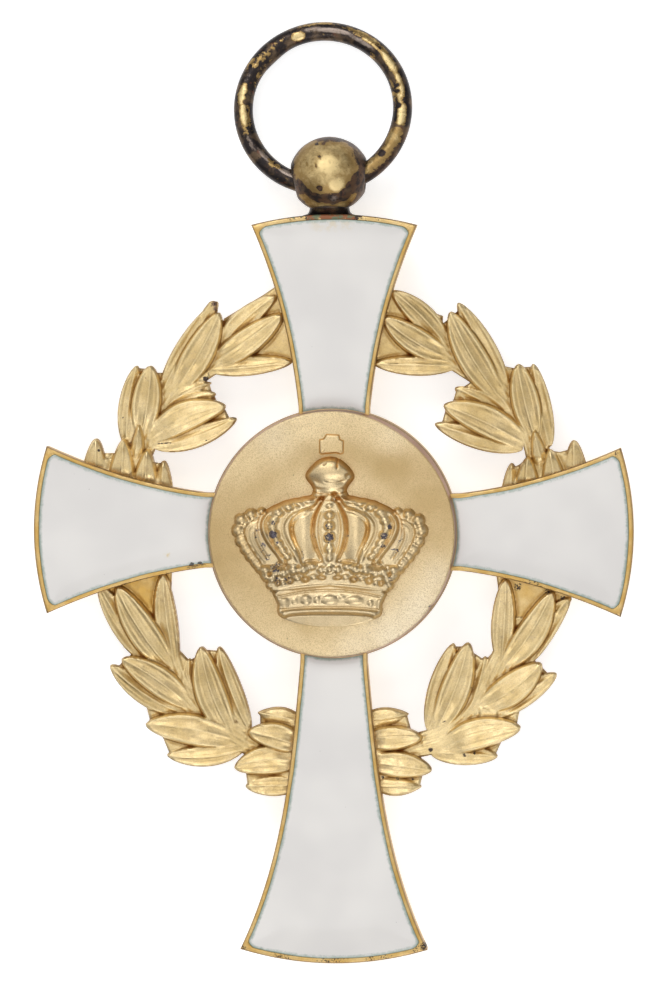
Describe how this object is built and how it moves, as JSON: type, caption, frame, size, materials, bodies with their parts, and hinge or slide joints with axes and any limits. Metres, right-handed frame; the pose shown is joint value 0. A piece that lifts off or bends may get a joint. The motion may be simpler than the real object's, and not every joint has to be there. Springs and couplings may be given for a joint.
{
  "type": "order badge",
  "caption": "Neck badge: an enamelled cross with flared arms, a laurel wreath between them, a dished medallion with a crown in relief, and a wire ring.",
  "frame": {"origin": "centre of the flat boss on the back, on the surface that the badge lies on", "axes": "+X to the viewer's right, +Y up the badge towards its ring, +Z out of the front"},
  "size_m": [0.0601, 0.0944, 0.0076],
  "materials": {
    "gilt_metal": "worn gilding with dark dirt in the hollows",
    "matt_gilding": "matt sandblasted gilding",
    "white_enamel": "glossy white enamel, slightly domed",
    "tarnished_gilt": "dark tarnish, worn bright on the high places"
  },
  "bodies": {
    "badge": {"cross_frame": "gilt_metal", "enamel_top": "white_enamel", "enamel_left": "white_enamel", "enamel_right": "white_enamel", "enamel_bottom": "white_enamel", "medallion": "matt_gilding"},
    "ring": {"suspension_ring": "tarnished_gilt"}
  },
  "joints": [
    {"name": "ring_swing", "type": "hinge", "parent": "badge", "child": "ring", "pos_m": [-0.00035, 0.0356, 0.0038], "axis": [0.9962, 0.0872, 0], "range_deg": [-138, 160]}
  ]
}
